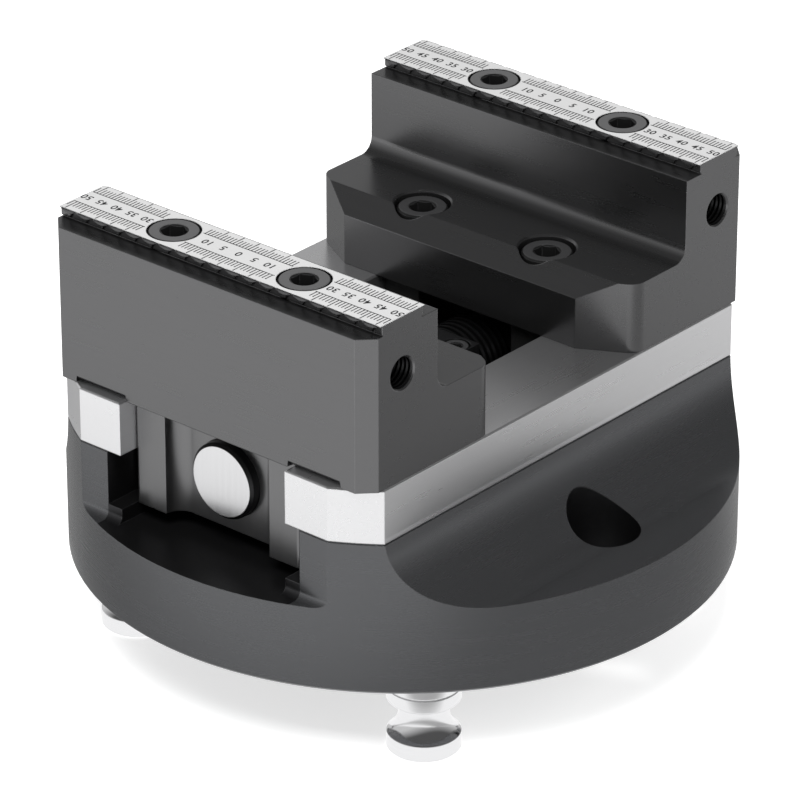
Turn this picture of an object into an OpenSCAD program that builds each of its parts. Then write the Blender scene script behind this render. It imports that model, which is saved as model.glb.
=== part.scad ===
// Self centering vise: two toothed step jaws on T-slot carriages, drawn
// together by one spindle with a left-hand and a right-hand thread.
// X is the jaw travel, Y the jaw width, Z is up. The origin is on the centre
// line, level with the feet of the four pull studs. Millimetres.

/* [Base body] */
// Radius of the round base body
base_r = 85; // [82:1:105]
// Height from the underside of the base body to the top of the rails
base_h = 55.6; // [54:0.2:62]
// Depth of the ledges and of the channel floor below the rail tops
rail_depth = 33.1; // [32.6:0.1:35]
// Width of the end ledges on the centre line
ledge_w = 10.2; // [7:0.2:11]
// Width of the rail block across its side planes
block_w = 104; // [98:1:110]
// Radius of the coves along the foot of the side planes
cove_r = 20; // [12:1:22]
// Fillet where the end faces meet the ledges
ledge_fillet_r = 2; // [0.5:0.5:4]
// Height of the ground band below the rail tops
band_h = 14.4; // [10:0.2:16]
// Height of the relief line under the ground band
band_line_h = 0.45; // [0.2:0.05:0.8]
// Depth of the relief line under the ground band
band_line_depth = 0.3; // [0.1:0.05:0.6]
// Chamfer on the top edges of the rails
rail_chamfer = 0.4; // [0.2:0.1:1]
// Chamfer round the bottom edge and the ledge edge
foot_chamfer = 0.8; // [0.3:0.1:2]

/* [T-slot] */
// Width of the slot between the two rails
slot_neck_w = 53.9; // [50:0.1:56]
// Width of the undercut below the rails
slot_foot_w = 63; // [60:0.5:68]
// Thickness of the rail lips over the undercut
slot_lip_h = 14.4; // [12:0.2:15.5]
// Depth of the shallow channel under the carriages
channel_h = 3.9; // [2:0.1:6]
// Width of the shallow channel under the carriages
channel_w = 50.6; // [44:0.2:54]
// Running clearance of the carriages in the slot, each side
slide_gap = 0.05; // [0.02:0.01:0.1]

/* [Base mounting] */
// Distance of the two through holes from the rim of the base
side_hole_inset = 20; // [18:0.5:22]
// Diameter of the through holes
side_hole_d = 13.5; // [11:0.5:14]
// Diameter of their counterbores
side_cbore_d = 18.4; // [17:0.2:20]
// Height of the counterbore seats above the underside
side_seat_h = 9.5; // [6:0.5:14]
// Spacing of the pull studs in both directions
stud_pitch = 96; // [90:2:100]
// Diameter of the central locating bore
locate_bore_d = 10; // [8:1:11]
// Depth of the central locating bore
locate_bore_depth = 8; // [5:1:12]

/* [Pull studs] */
// Height of a pull stud below the base body
stud_h = 23.8; // [22:0.2:30]
// Diameter of its shoulder and of its foot
stud_d = 18.6; // [17:0.2:22]
// Diameter of its waist
stud_waist_d = 12.4; // [11:0.2:14]
// Height of its shoulder
stud_shoulder_h = 10.2; // [8:0.2:12]
// Height of its foot rim
stud_rim_h = 4.7; // [3:0.1:6]
// Diameter of its thread
stud_thread_d = 12; // [10:1:12]
// Length of its thread in the base body
stud_thread_len = 14; // [10:1:15]
// Diameter of its locating spigot
stud_spigot_d = 14; // [13:0.5:16]
// Length of its locating spigot
stud_spigot_h = 3.8; // [2:0.2:4.5]
// Width across the flats of the hexagon in its foot
stud_hex_af = 8; // [5:1:9]

/* [Jaws] */
// Width of the jaws
jaw_w = 103.4; // [96:0.2:110]
// Set-back of the jaws' outer faces from the end faces of the rails
jaw_setback = 1.8; // [0.5:0.1:4]
// Distance between the jaws' inner faces
jaw_opening = 42.4; // [42.4:0.2:44]
// Height of the jaws above the rails
jaw_h = 43.4; // [41:0.2:48]
// Thickness of the jaw wall
jaw_wall_t = 25.3; // [24:0.1:27]
// Height of the lower step above the rails
step_h = 18.9; // [17:0.1:21]
// Size of the bevel along the step's inner edge
step_bevel = 5.2; // [3:0.1:7]
// Fillet between the step and the wall
step_fillet_r = 4; // [2:0.5:5]
// Corner chamfers of the outer face, in plan
jaw_corner = 4; // [2:0.5:4.5]
// Length of the slanted inner corners along the travel
nose_x = 7.6; // [5:0.2:9]
// Length of the slanted inner corners across the travel
nose_y = 13.7; // [10:0.1:18]
// Rounding where the slanted corners meet the end faces
nose_r = 4.5; // [2:0.5:6]

/* [Toothed ridges] */
// Width of the ridge on top of each jaw
ridge_w = 15.8; // [15:0.1:17]
// Height of the ridge above the shelves beside it
ridge_h = 2.9; // [2.4:0.1:4]
// Thickness of the toothed lip
lip_h = 1.9; // [1.5:0.1:2.2]
// Depth of the undercut below the lip
lip_undercut = 1.2; // [0.6:0.1:1.6]
// Distance from tooth to tooth
tooth_pitch = 5.4; // [4:0.1:8]
// Radius of the scallops between the teeth
tooth_r = 2.5; // [1.8:0.1:3]
// Depth of the scallops
tooth_depth = 0.6; // [0.3:0.1:0.9]

/* [Jaw fixing] */
// Diameter of the jaw bolts' threads
bolt_d = 8; // [6:1:8]
// Diameter of the jaw bolts' heads
bolt_head_d = 13; // [11:0.5:13]
// Height of the jaw bolts' heads
bolt_head_h = 8; // [6:0.5:8]
// Width across the flats of their hexagons
bolt_hex_af = 6; // [4:1:7]
// Length of the wall bolts under the head
wall_bolt_len = 50; // [48:1:50]
// Length of the step bolts under the head
step_bolt_len = 25; // [22:1:25]
// Distance from one wall bolt to the other
wall_bolt_pitch = 42; // [38:1:44]
// Distance from one step bolt to the other
step_bolt_pitch = 41; // [41:0.5:44]
// Distance of the step bolts from the inner jaw face
step_bolt_inset = 10.3; // [10:0.1:11]
// Depth of the step bolts' heads below the step
step_bolt_sink = 1; // [0.5:0.1:2]
// Counterbore diameter of the wall bolts
wall_cbore_d = 13.6; // [13.4:0.1:15]
// Counterbore diameter of the step bolts
step_cbore_d = 14.5; // [13.8:0.1:15]
// Diameter of the threaded holes in the jaws' end faces
side_thread_d = 8; // [6:1:10]
// Depth of the threaded holes in the jaws' end faces
side_thread_depth = 16; // [10:1:22]
// Height of the threaded holes above the rails
side_thread_h = 28.3; // [25:0.1:31]
// Width of the cross keys
key_w = 12; // [10:1:12]
// Height of the cross keys
key_h = 6; // [4:0.5:6]
// Length of the cross keys
key_len = 50; // [40:1:52]

/* [Carriages] */
// Depth of the recess in each carriage's outer face
recess_depth = 4.6; // [3:0.2:6]
// Width of the recess
recess_w = 34; // [28:1:36]
// Set-back of the outer faces from the jaws' outer faces
carriage_inset = 3.6; // [2.5:0.1:5]
// Set-back of the T flanges from the carriages' outer faces
flange_inset = 4.4; // [2:0.1:8]
// Distance of the fork ends from the centre
fork_x = 24; // [23:0.5:26]
// Depth of the fork, where the bearing block nests
fork_depth = 12; // [11.5:0.5:13]
// Width of the fork's gap
fork_w = 30.6; // [30.2:0.2:31]
// Rounding of the carriages' outer corners
carriage_r = 1; // [0.5:0.1:2]

/* [Spindle and bearing] */
// Diameter of the twin thread
spindle_d = 20; // [16:1:20]
// Set-back of the spindle's ends from the carriages' outer faces
spindle_setback = 1.6; // [0.5:0.1:3]
// Depth of the spindle's axis below the rail tops
axis_drop = 15.2; // [14.8:0.1:16]
// Diameter of the neck between the two threads
neck_d = 14; // [12:0.5:15]
// Running clearance of the spindle, each side
run_gap = 0.05; // [0.02:0.01:0.1]
// Width across the flats of the drive hexagon
drive_af = 10; // [8:1:12]
// Depth of the drive hexagon
drive_depth = 12; // [8:1:16]
// Chamfer on the spindle's ends
spindle_chamfer = 0.8; // [0.4:0.1:1.5]
// Length of the bearing block along the travel
block_len = 24; // [22:0.5:25]
// Width of the bearing block
block_y = 29.6; // [28.8:0.2:30]
// Depth of the bearing cap's top below the rail tops
cap_drop = 2.6; // [1.5:0.1:4.5]
// Diameter of the cap screws
cap_screw_d = 4; // [3:1:4]
// Spacing of the cap screws along the travel
cap_screw_x = 15; // [14:0.5:15.5]
// Spacing of the cap screws across the travel
cap_screw_y = 22; // [21:0.5:22.5]
// Diameter of the screws that hold the block from below
base_screw_d = 6; // [5:1:6]
// Diameter of the dowels under the block
dowel_d = 4; // [3:1:5]
// Length of the dowels
dowel_len = 12; // [8:1:14]
// Spacing of the dowels
dowel_pitch = 16; // [15:0.5:17]

/* [Hidden] */
// All heights below count from the feet of the pull studs.
base_z = stud_h;
rail_z = base_z + base_h;
floor_z = rail_z - rail_depth;
floor_h = floor_z - base_z;
band_z = rail_z - band_h;
lip_z = rail_z - slot_lip_h;
slot_z = floor_z + channel_h;
slot_foot_h = lip_z - slot_z;
axis_z = rail_z - axis_drop;
cap_z = rail_z - cap_drop;
cove_y = block_w / 2 + cove_r;
flat_x = base_r - ledge_w;
side_hole_y = base_r - side_hole_inset;
jaw_outer_x = flat_x - jaw_setback;

jaw_top_z = rail_z + jaw_h;
shelf_z = jaw_top_z - ridge_h;
step_z = rail_z + step_h;
jaw_inner_x = jaw_opening / 2;
wall_x = jaw_outer_x - jaw_wall_t;
ridge_x = (jaw_outer_x + wall_x) / 2;
ridge_in = ridge_x - ridge_w / 2;
ridge_out = ridge_x + ridge_w / 2;
lip_low_z = jaw_top_z - lip_h;
tooth_count = floor(jaw_w / tooth_pitch);
notch_mid_y = jaw_w * 0.336;
notch_len = 16.8;
notch_depth = 1.2;
notch_tool_r = 3;

step_bolt_x = jaw_inner_x + step_bolt_inset;
key_x = (step_bolt_x + ridge_x) / 2;
wall_seat_z = jaw_top_z - bolt_head_h;
step_seat_z = step_z - step_bolt_sink - bolt_head_h;
fit_gap = 0.05;
bolt_hole_d = bolt_d + 0.6;
tap_end_gap = 1.6;
wall_tap_z = wall_seat_z - wall_bolt_len - tap_end_gap;
step_tap_z = step_seat_z - step_bolt_len - tap_end_gap;
key_gap = 0.2;
edge = 0.5;

carriage_out = jaw_outer_x - carriage_inset;
recess_x = carriage_out - recess_depth;
spindle_len = 2 * (carriage_out - spindle_setback);
neck_y = slot_neck_w / 2 - slide_gap;
flange_y = slot_foot_w / 2 - 6 * slide_gap;
flange_top_z = lip_z - slide_gap;
carriage_z = slot_z + slide_gap;

stud_seat_gap = 0.02;
stud_hole_depth = stud_spigot_h + stud_thread_len + 2;
base_cbore_d = base_screw_d * 1.75;
base_cbore_h = base_screw_d + 1;
base_screw_head_d = base_screw_d * 5 / 3;
base_screw_grip = 8;
base_screw_len = floor_h - base_cbore_h + base_screw_grip;
cap_head_d = cap_screw_d * 1.75;
cap_seat_z = cap_z - cap_screw_d;
cap_screw_len = 17;
dowel_z = floor_z - dowel_len / 2;

e = 0.01;
far = 400;
$fn = 64;

// ---- helpers ----

// Extrudes a profile drawn in X and Z along Y, centred.
module along_y(w) {
    rotate([90, 0, 0]) linear_extrude(w, center = true) children();
}

// Extrudes a profile drawn in Y and Z along X, centred.
module along_x(w) {
    rotate([90, 0, 90]) linear_extrude(w, center = true) children();
}

// Mirrors a child to both sides of the X-Z plane.
module both_y() {
    children();
    mirror([0, 1, 0]) children();
}

// Repeats a child at the four corners of a rectangle.
module at_corners(px, py) {
    for (sx = [-1, 1], sy = [-1, 1])
        translate([sx * px / 2, sy * py / 2, 0]) children();
}

// A round hole going down from z, with a chamfered mouth.
module hole(d, z, depth, chamfer = 0) {
    translate([0, 0, z - depth]) cylinder(d = d, h = depth + e);
    if (chamfer > 0)
        translate([0, 0, z - chamfer]) cylinder(d1 = d, d2 = d + 2 * chamfer + 2 * e, h = chamfer + e);
}

// A hexagon socket cut of a given width across flats.
module hex_cut(af, depth) {
    cylinder(d = af / cos(30), h = depth, $fn = 6);
}

// A socket cap screw pointing down, its head's seat at z = 0.
module cap_screw(d, head_d, head_h, length, af, socket) {
    difference() {
        union() {
            rotate_extrude() polygon([[0, -length], [d / 2 - 0.6, -length], [d / 2, -length + 0.6],
                                      [d / 2, 0], [head_d / 2, 0], [head_d / 2, head_h - 0.5],
                                      [head_d / 2 - 0.5, head_h], [0, head_h]]);
        }
        translate([0, 0, head_h - socket]) hex_cut(af, socket + 1);
        translate([0, 0, head_h - 0.4]) cylinder(d1 = af, d2 = af / cos(30) + 0.8, h = 0.4 + e);
    }
}

// ---- base body ----

// Block outline across the travel: side planes, coves and outer ledges.
module block_section() {
    difference() {
        translate([-base_r - 1, base_z]) square([2 * base_r + 2, base_h]);
        for (s = [-1, 1]) scale([s, 1]) {
            translate([block_w / 2, floor_z + cove_r]) square([far, far]);
            translate([cove_y, floor_z]) square([far, far]);
            translate([cove_y, floor_z + cove_r]) circle(cove_r);
            translate([block_w / 2, rail_z]) rotate(45) square(rail_chamfer * sqrt(2), center = true);
        }
    }
}

// Block outline along the travel: flat end faces and ledges with fillets.
module block_profile() {
    difference() {
        translate([-base_r - 1, base_z]) square([2 * base_r + 2, base_h]);
        for (s = [-1, 1]) scale([s, 1]) {
            translate([flat_x, floor_z + ledge_fillet_r]) square([far, far]);
            translate([flat_x + ledge_fillet_r, floor_z]) square([far, far]);
            translate([flat_x + ledge_fillet_r, floor_z + ledge_fillet_r]) circle(ledge_fillet_r);
            translate([flat_x, rail_z]) rotate(45) square(rail_chamfer * sqrt(2), center = true);
        }
    }
}

// Plan of the rail block, drawn inwards by a margin.
module block_plan(inset = 0) {
    intersection() {
        circle(base_r - inset);
        square([2 * (flat_x - inset), block_w - 2 * inset], center = true);
    }
}

// T-shaped slot for the carriages, with the shallow channel under it.
module t_slot() {
    along_x(far) {
        translate([-slot_neck_w / 2, floor_z + e]) square([slot_neck_w, far]);
        translate([-slot_foot_w / 2, slot_z]) square([slot_foot_w, slot_foot_h]);
        translate([-channel_w / 2, floor_z]) square([channel_w, slot_foot_h]);
        for (s = [-1, 1])
            translate([s * slot_neck_w / 2, rail_z]) rotate(45) square(rail_chamfer * sqrt(2), center = true);
    }
}

// Seat of one pull stud, cut from below.
module stud_seat() {
    translate([0, 0, base_z - e]) {
        cylinder(d = stud_thread_d + 2 * fit_gap, h = stud_hole_depth);
        cylinder(d = stud_spigot_d + 2 * stud_seat_gap, h = stud_spigot_h + 0.4);
    }
}

// Through hole in a cove, with its counterbore.
module side_hole() {
    translate([0, 0, base_z - 1]) cylinder(d = side_hole_d, h = floor_h);
    translate([0, 0, base_z + side_seat_h]) cylinder(d = side_cbore_d, h = far);
}

module base_body() color([0.14, 0.14, 0.15]) difference() {
    intersection() {
        rotate_extrude($fn = 128) polygon([[0, base_z], [base_r - foot_chamfer, base_z],
                                 [base_r, base_z + foot_chamfer], [base_r, rail_z - rail_chamfer],
                                 [base_r - rail_chamfer, rail_z], [0, rail_z]]);
        along_x(far) block_section();
        along_y(far) block_profile();
    }
    t_slot();
    translate([0, 0, band_z - band_line_h]) linear_extrude(band_line_h) difference() {
        circle(base_r + 5);
        block_plan(band_line_depth);
    }
    at_corners(stud_pitch, stud_pitch) stud_seat();
    for (s = [-1, 1]) translate([0, s * side_hole_y, 0]) side_hole();
    for (s = [-1, 1]) translate([0, s * cap_screw_y / 2, base_z - e]) {
        cylinder(d = base_screw_d + 0.6, h = base_h);
        cylinder(d = base_cbore_d, h = base_cbore_h);
    }
    for (s = [-1, 1]) translate([s * dowel_pitch / 2, 0, 0]) hole(dowel_d + e, floor_z, dowel_len / 2 + 0.5);
    translate([0, 0, base_z - e]) cylinder(d = locate_bore_d, h = locate_bore_depth);
}

// ---- carriages, drawn on the +X side ----

// Plan of a carriage: rounded outer corners, outer recess and inner fork.
module carriage_plan(half_w, out_x, r) {
    difference() {
        union() {
            translate([fork_x, -half_w]) square([out_x - r - fork_x, 2 * half_w]);
            translate([fork_x, r - half_w]) square([out_x - fork_x, 2 * half_w - 2 * r]);
            for (s = [-1, 1]) translate([out_x - r, s * (half_w - r)]) circle(r);
        }
        translate([fork_x - 1, -fork_w / 2]) square([fork_depth + 1, fork_w]);
        translate([recess_x, recess_depth - recess_w / 2])
            square([far, recess_w - 2 * recess_depth]);
        for (s = [-1, 1])
            translate([carriage_out, s * (recess_w / 2 - recess_depth)]) circle(recess_depth);
    }
}

module carriage() difference() {
    union() {
        translate([0, 0, carriage_z]) linear_extrude(rail_z - carriage_z)
            carriage_plan(neck_y, carriage_out, carriage_r);
        translate([0, 0, carriage_z]) linear_extrude(flange_top_z - carriage_z)
            carriage_plan(flange_y, carriage_out - flange_inset, carriage_r);
    }
    translate([0, 0, axis_z]) rotate([0, 90, 0]) cylinder(d = spindle_d + 2 * run_gap, h = far);
    for (s = [-1, 1]) {
        translate([ridge_x, s * wall_bolt_pitch / 2, wall_tap_z])
            cylinder(d = bolt_d + 2 * fit_gap, h = far);
        translate([step_bolt_x, s * step_bolt_pitch / 2, step_tap_z])
            cylinder(d = bolt_d + 2 * fit_gap, h = far);
    }
    // open cross groove for the lower half of the key
    translate([key_x - key_w / 2 - fit_gap, -slot_neck_w, rail_z - key_h / 2 - key_gap])
        cube([key_w + 2 * fit_gap, 2 * slot_neck_w, key_h]);
}

module near_carriage() color([0.12, 0.12, 0.13]) rotate(180) carriage();
module far_carriage() color([0.12, 0.12, 0.13]) carriage();

// ---- jaws, drawn on the +X side ----

// Side view of a jaw: step, bevel, wall, undercut shelves and ridge.
module jaw_profile() {
    difference() {
        translate([jaw_inner_x, rail_z]) square([jaw_outer_x - jaw_inner_x, jaw_h]);
        // space above the step, with the fillet at the wall's foot
        translate([jaw_inner_x - 1, step_z + step_fillet_r]) square([wall_x - jaw_inner_x + 1, far]);
        translate([jaw_inner_x - 1, step_z]) square([wall_x - step_fillet_r - jaw_inner_x + 1, far]);
        translate([wall_x - step_fillet_r, step_z + step_fillet_r]) circle(step_fillet_r);
        // bevel of the step's inner edge
        polygon([[jaw_inner_x - 1, step_z - step_bevel - 1], [jaw_inner_x + step_bevel + 1, step_z + 1],
                 [jaw_inner_x - 1, step_z + 1]]);
        // shelves on both sides of the ridge
        translate([ridge_out, shelf_z]) square([far, far]);
        translate([ridge_in - far, shelf_z]) square([far, far]);
        // undercuts below the toothed lips
        polygon([[ridge_out + e, lip_low_z], [ridge_out - lip_undercut, shelf_z], [ridge_out + e, shelf_z]]);
        polygon([[ridge_in - e, lip_low_z], [ridge_in + lip_undercut, shelf_z], [ridge_in - e, shelf_z]]);
    }
}

// Plan of a jaw: slanted inner corners with a rounding, chamfered outer ones.
module jaw_plan() {
    turn = atan2(nose_y, nose_x);
    reach = nose_r * tan(turn / 2);
    corner_x = jaw_inner_x + nose_x;
    half = jaw_w / 2;
    difference() {
        translate([jaw_inner_x, -half]) square([jaw_outer_x - jaw_inner_x, jaw_w]);
        for (s = [-1, 1]) scale([1, s]) {
            polygon([[jaw_inner_x - 1, half - nose_y], [jaw_inner_x, half - nose_y], [corner_x, half],
                     [corner_x, half + 1], [jaw_inner_x - 1, half + 1]]);
            difference() {
                polygon([[corner_x - reach * cos(turn), half - reach * sin(turn)], [corner_x, half + 1],
                         [corner_x + reach, half + 1], [corner_x + reach, half - nose_r]]);
                translate([corner_x + reach, half - nose_r]) circle(nose_r);
            }
            translate([jaw_outer_x, half]) rotate(45) square(jaw_corner * sqrt(2), center = true);
        }
    }
}

// Scallops along one toothed edge, cut square to it.
module tooth_row(x, side) {
    for (i = [0:tooth_count])
        translate([x - side * tooth_depth, (i - tooth_count / 2) * tooth_pitch, lip_low_z - 0.9])
            rotate([0, side * 90, 0]) cylinder(r = tooth_r, h = 2, $fn = 48);
}

// Shallow relief along the lower outer edge, with round ends.
module edge_relief() {
    translate([jaw_outer_x, notch_mid_y, rail_z]) rotate([0, 135, 0])
        translate([0, 0, -notch_depth]) linear_extrude(3 * notch_depth) {
            square([2 * notch_tool_r, notch_len - 2 * notch_tool_r], center = true);
            for (s = [-1, 1]) translate([0, s * (notch_len / 2 - notch_tool_r)]) circle(notch_tool_r);
        }
}

module jaw() difference() {
    intersection() {
        along_y(jaw_w + 2) jaw_profile();
        translate([0, 0, rail_z - 1]) linear_extrude(jaw_h + 2) jaw_plan();
    }
    intersection() {
        translate([0, -jaw_w, shelf_z]) cube([far, 2 * jaw_w, jaw_h]);
        union() {
            tooth_row(ridge_out, 1);
            tooth_row(ridge_in, -1);
        }
    }
    both_y() {
        translate([ridge_x, wall_bolt_pitch / 2, 0]) {
            hole(wall_cbore_d, jaw_top_z, bolt_head_h);
            hole(bolt_hole_d, wall_seat_z + e, jaw_h);
        }
        translate([step_bolt_x, step_bolt_pitch / 2, 0]) {
            hole(step_cbore_d, far, far - step_seat_z);
            hole(step_cbore_d, step_z, step_sink_h(), edge);
            hole(bolt_hole_d, step_seat_z + e, step_h);
        }
        translate([ridge_x, jaw_w / 2, rail_z + side_thread_h]) rotate([-90, 0, 0])
            hole(side_thread_d, 0, side_thread_depth, edge);
        edge_relief();
    }
    // blind groove with round ends for the upper half of the key
    translate([key_x, 0, rail_z - e]) linear_extrude(key_h / 2 + key_gap + e) {
        square([key_w + 2 * fit_gap, key_len + 2], center = true);
        for (s = [-1, 1]) translate([0, s * (key_len / 2 + 1)]) circle(key_w / 2 + fit_gap);
    }
}

// Depth of the step bolts' counterbores.
function step_sink_h() = step_z - step_seat_z;

module near_jaw() color([0.30, 0.30, 0.31]) rotate(180) jaw();
module far_jaw() color([0.30, 0.30, 0.31]) jaw();

module jaw_key() {
    translate([key_x - key_w / 2, -key_len / 2, rail_z - key_h / 2]) cube([key_w, key_len, key_h]);
}

module near_jaw_key() color("silver") rotate(180) jaw_key();
module far_jaw_key() color("silver") jaw_key();

module wall_bolts() both_y() translate([ridge_x, wall_bolt_pitch / 2, wall_seat_z])
    cap_screw(bolt_d, bolt_head_d, bolt_head_h, wall_bolt_len, bolt_hex_af, bolt_head_h / 2);

module step_bolts() both_y() translate([step_bolt_x, step_bolt_pitch / 2, step_seat_z])
    cap_screw(bolt_d, bolt_head_d, bolt_head_h, step_bolt_len, bolt_hex_af, bolt_head_h / 2);

module near_wall_bolts() color([0.16, 0.16, 0.17]) rotate(180) wall_bolts();
module far_wall_bolts() color([0.16, 0.16, 0.17]) wall_bolts();
module near_step_bolts() color([0.16, 0.16, 0.17]) rotate(180) step_bolts();
module far_step_bolts() color([0.16, 0.16, 0.17]) step_bolts();

// ---- spindle and its bearing ----

module spindle() color("silver") translate([0, 0, axis_z]) rotate([0, 90, 0]) difference() {
    rotate_extrude() polygon(concat(spindle_outline(-1), [for (i = [4:-1:0]) spindle_outline(1)[i]]));
    translate([0, 0, spindle_len / 2 - drive_depth]) hex_cut(drive_af, drive_depth + 1);
}

// Outline points of one half of the spindle, from its end to the neck.
function spindle_outline(s) = [
    [0, s * spindle_len / 2],
    [spindle_d / 2 - spindle_chamfer, s * spindle_len / 2],
    [spindle_d / 2, s * (spindle_len / 2 - spindle_chamfer)],
    [spindle_d / 2, s * (block_len / 2 + run_gap)],
    [neck_d / 2, s * (block_len / 2 + run_gap)]];

// Bearing block between two heights, with the journal bore along X.
module bearing_part(z0, z1) difference() {
    translate([-block_len / 2, -block_y / 2, z0]) cube([block_len, block_y, z1 - z0]);
    translate([-far / 2, 0, axis_z]) rotate([0, 90, 0]) cylinder(d = neck_d + 2 * run_gap, h = far);
}

module bearing_block() color([0.45, 0.45, 0.47]) difference() {
    bearing_part(floor_z, axis_z);
    at_corners(cap_screw_x, cap_screw_y) hole(cap_screw_d + 2 * fit_gap, axis_z + 1, axis_z + 2 - cap_seat_z + cap_screw_len);
    for (s = [-1, 1]) {
        translate([0, s * cap_screw_y / 2, floor_z - 1]) cylinder(d = base_screw_d + 2 * fit_gap, h = base_screw_grip + 2);
        translate([s * dowel_pitch / 2, 0, floor_z - e]) cylinder(d = dowel_d + e, h = dowel_len / 2 + 0.5);
    }
}

module bearing_cap() color([0.45, 0.45, 0.47]) difference() {
    bearing_part(axis_z, cap_z);
    at_corners(cap_screw_x, cap_screw_y) {
        hole(cap_head_d + 0.5, cap_z, cap_screw_d);
        hole(cap_screw_d + 0.4, cap_seat_z + e, cap_z);
    }
}

module bearing_cap_screws() color([0.16, 0.16, 0.17]) at_corners(cap_screw_x, cap_screw_y)
    translate([0, 0, cap_seat_z])
        cap_screw(cap_screw_d, cap_head_d, cap_screw_d, cap_screw_len, cap_screw_d * 0.75, cap_screw_d / 2);

module bearing_base_screws() color([0.16, 0.16, 0.17]) for (s = [-1, 1])
    translate([0, s * cap_screw_y / 2, base_z + base_cbore_h]) rotate([180, 0, 0])
        cap_screw(base_screw_d, base_screw_head_d, base_screw_d, base_screw_len, base_screw_d * 5 / 6, base_screw_d / 2);

module bearing_dowels() color("silver") for (s = [-1, 1])
    translate([s * dowel_pitch / 2, 0, dowel_z]) cylinder(d = dowel_d, h = dowel_len);

// ---- pull studs ----

module pull_stud() {
    waist_z = stud_h - stud_shoulder_h;
    rim_z = stud_rim_h;
    r = stud_d / 2;
    w = stud_waist_d / 2;
    top = base_z + stud_spigot_h + stud_thread_len;
    difference() {
        rotate_extrude() polygon([[0, 0], [r - 0.6, 0], [r, 0.6], [r, rim_z], [w, waist_z - 3.2], [w, waist_z],
                                  [r - 0.4, waist_z], [r, waist_z + 0.4], [r, waist_z + 3.7],
                                  [r - 0.25, waist_z + 3.75], [r - 0.25, waist_z + 4.05], [r, waist_z + 4.1],
                                  [r, base_z - 0.3], [r - 0.3, base_z],
                                  [stud_spigot_d / 2, base_z], [stud_spigot_d / 2, base_z + stud_spigot_h],
                                  [stud_thread_d / 2, base_z + stud_spigot_h], [stud_thread_d / 2, top - 1],
                                  [stud_thread_d / 2 - 1, top], [0, top]]);
        translate([0, 0, -e]) hex_cut(stud_hex_af, 7);
    }
}

module pull_stud_near_left() color("silver") translate([-stud_pitch / 2, stud_pitch / 2, 0]) pull_stud();
module pull_stud_near_right() color("silver") translate([-stud_pitch / 2, -stud_pitch / 2, 0]) pull_stud();
module pull_stud_far_left() color("silver") translate([stud_pitch / 2, stud_pitch / 2, 0]) pull_stud();
module pull_stud_far_right() color("silver") translate([stud_pitch / 2, -stud_pitch / 2, 0]) pull_stud();

base_body();
near_carriage();
far_carriage();
near_jaw();
far_jaw();
near_jaw_key();
far_jaw_key();
near_wall_bolts();
far_wall_bolts();
near_step_bolts();
far_step_bolts();
spindle();
bearing_block();
bearing_cap();
bearing_cap_screws();
bearing_base_screws();
bearing_dowels();
pull_stud_near_left();
pull_stud_near_right();
pull_stud_far_left();
pull_stud_far_right();
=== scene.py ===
"""Looks of a self centering vise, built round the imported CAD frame."""

import logging
import math
from dataclasses import dataclass
from enum import Enum

import bpy
from mathutils import Matrix, Vector


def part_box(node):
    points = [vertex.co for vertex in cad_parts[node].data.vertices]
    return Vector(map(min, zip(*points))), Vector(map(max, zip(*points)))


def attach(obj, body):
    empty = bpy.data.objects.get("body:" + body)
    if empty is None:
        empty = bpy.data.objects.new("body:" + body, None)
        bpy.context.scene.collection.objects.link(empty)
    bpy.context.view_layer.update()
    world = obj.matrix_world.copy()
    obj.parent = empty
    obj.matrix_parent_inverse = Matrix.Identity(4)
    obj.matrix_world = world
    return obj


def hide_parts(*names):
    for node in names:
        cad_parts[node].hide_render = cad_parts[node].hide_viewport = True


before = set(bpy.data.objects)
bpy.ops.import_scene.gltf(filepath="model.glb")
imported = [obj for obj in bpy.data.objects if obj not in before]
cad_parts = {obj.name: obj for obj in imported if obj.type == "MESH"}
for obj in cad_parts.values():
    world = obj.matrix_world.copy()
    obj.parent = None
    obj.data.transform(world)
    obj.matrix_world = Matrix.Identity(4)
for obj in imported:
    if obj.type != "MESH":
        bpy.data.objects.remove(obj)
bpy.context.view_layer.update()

log = logging.getLogger("vise")

MM = 0.001
# An end of a zone that lies past the vise, in metres
OPEN = 1.0
JAW_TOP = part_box("far_jaw")[1][2]
RAIL_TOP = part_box("base_body")[1][2]
BASE_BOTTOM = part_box("base_body")[0][2]
Triple = tuple[float, float, float]
Span = tuple[float, float]
Socket = bpy.types.NodeSocket


# Helpers for meshes


def activate(obj: bpy.types.Object) -> None:
    """Makes an object the only selected one and the active one.

    Args:
        obj: The object.
    """
    bpy.ops.object.select_all(action="DESELECT")
    obj.select_set(True)
    bpy.context.view_layer.objects.active = obj


def settle(obj: bpy.types.Object, name: str) -> bpy.types.Object:
    """Writes an object's place into its mesh and names it.

    Args:
        obj: The object to settle.
        name: The piece's name.

    Returns:
        The same object, at the origin, unturned and unscaled.
    """
    activate(obj)
    bpy.ops.object.transform_apply(location=True, rotation=True, scale=True)
    obj.name = name
    obj.data.name = name
    return obj


def apply_all(obj: bpy.types.Object) -> None:
    """Applies every modifier of an object, in order.

    Args:
        obj: The object.
    """
    activate(obj)
    for modifier in list(obj.modifiers):
        bpy.ops.object.modifier_apply(modifier=modifier.name)


def duplicate(obj: bpy.types.Object) -> bpy.types.Object:
    """Copies an object with a mesh of its own.

    Args:
        obj: The object to copy.

    Returns:
        The copy, in the scene and in the same place.
    """
    copy = obj.copy()
    copy.data = obj.data.copy()
    bpy.context.scene.collection.objects.link(copy)
    return copy


def join(pieces: list[bpy.types.Object], name: str) -> bpy.types.Object:
    """Joins several mesh objects into one piece.

    Args:
        pieces: The objects, at least two.
        name: The name of the joined piece.

    Returns:
        The joined object.
    """
    activate(pieces[0])
    for other in pieces[1:]:
        other.select_set(True)
    bpy.ops.object.join()
    return settle(bpy.context.view_layer.objects.active, name)


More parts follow.
